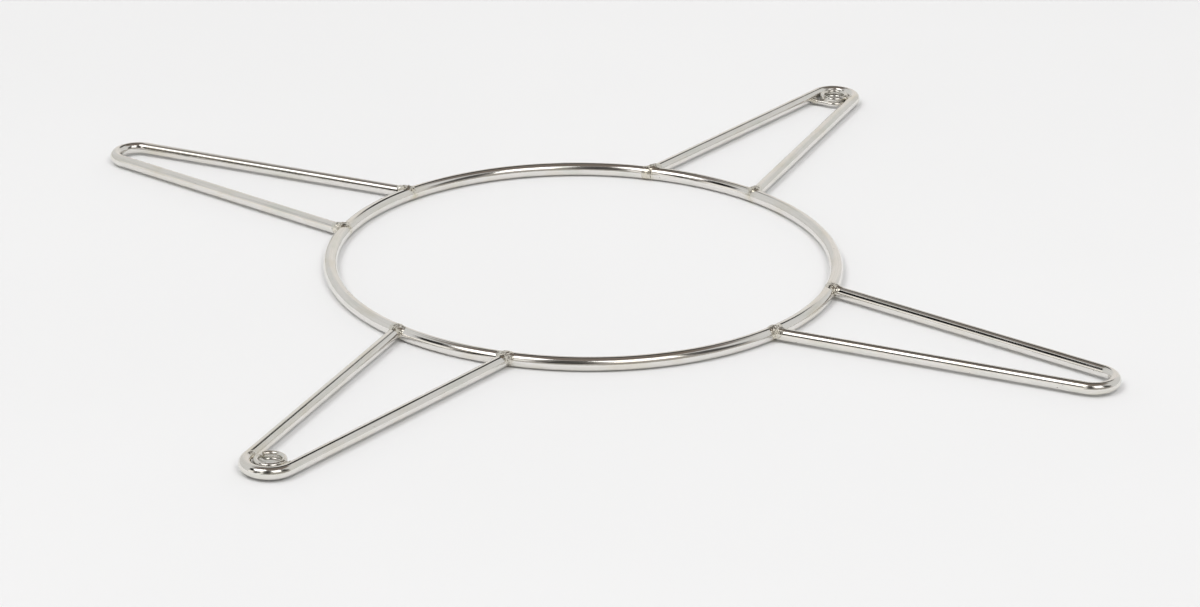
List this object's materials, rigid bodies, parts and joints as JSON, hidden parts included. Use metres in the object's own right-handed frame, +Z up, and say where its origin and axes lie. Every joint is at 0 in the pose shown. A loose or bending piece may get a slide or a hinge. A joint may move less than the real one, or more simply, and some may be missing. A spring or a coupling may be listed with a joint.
{
  "type": "ring frame with looped arms",
  "caption": "Flat welded round-bar frame: a ring with long hairpin loops standing out at right angles, opposite ones with a small wire eyelet in the tip.",
  "frame": {"origin": "middle of the ring, on the frame's underside", "axes": "+Z up out of the frame's plane; +X, +Y, -X and -Y along the right, back, left and front arms"},
  "size_m": [0.669, 0.669, 0.0091],
  "materials": {
    "plated_ring_bar": "bright nickel-plated round bar",
    "plated_arm_bar": "bright nickel-plated round bar, drawn lines along its length",
    "plated_wire": "bright nickel-plated wire",
    "plated_weld": "rippled weld metal under the same plating"
  },
  "bodies": {
    "root": {"main_ring": "plated_ring_bar", "ring_butt_weld": "plated_weld", "arm_right": "plated_arm_bar", "arm_back": "plated_arm_bar", "arm_left": "plated_arm_bar", "arm_front": "plated_arm_bar", "eyelet_front": "plated_wire", "eyelet_back": "plated_wire", "foot_weld_right_front": "plated_weld", "foot_weld_right_back": "plated_weld", "foot_weld_back_right": "plated_weld", "foot_weld_back_left": "plated_weld", "foot_weld_left_back": "plated_weld", "foot_weld_left_front": "plated_weld", "foot_weld_front_left": "plated_weld", "foot_weld_front_right": "plated_weld", "eyelet_weld_front_left": "plated_weld", "eyelet_weld_front_right": "plated_weld", "eyelet_weld_back_left": "plated_weld", "eyelet_weld_back_right": "plated_weld"}
  },
  "joints": []
}
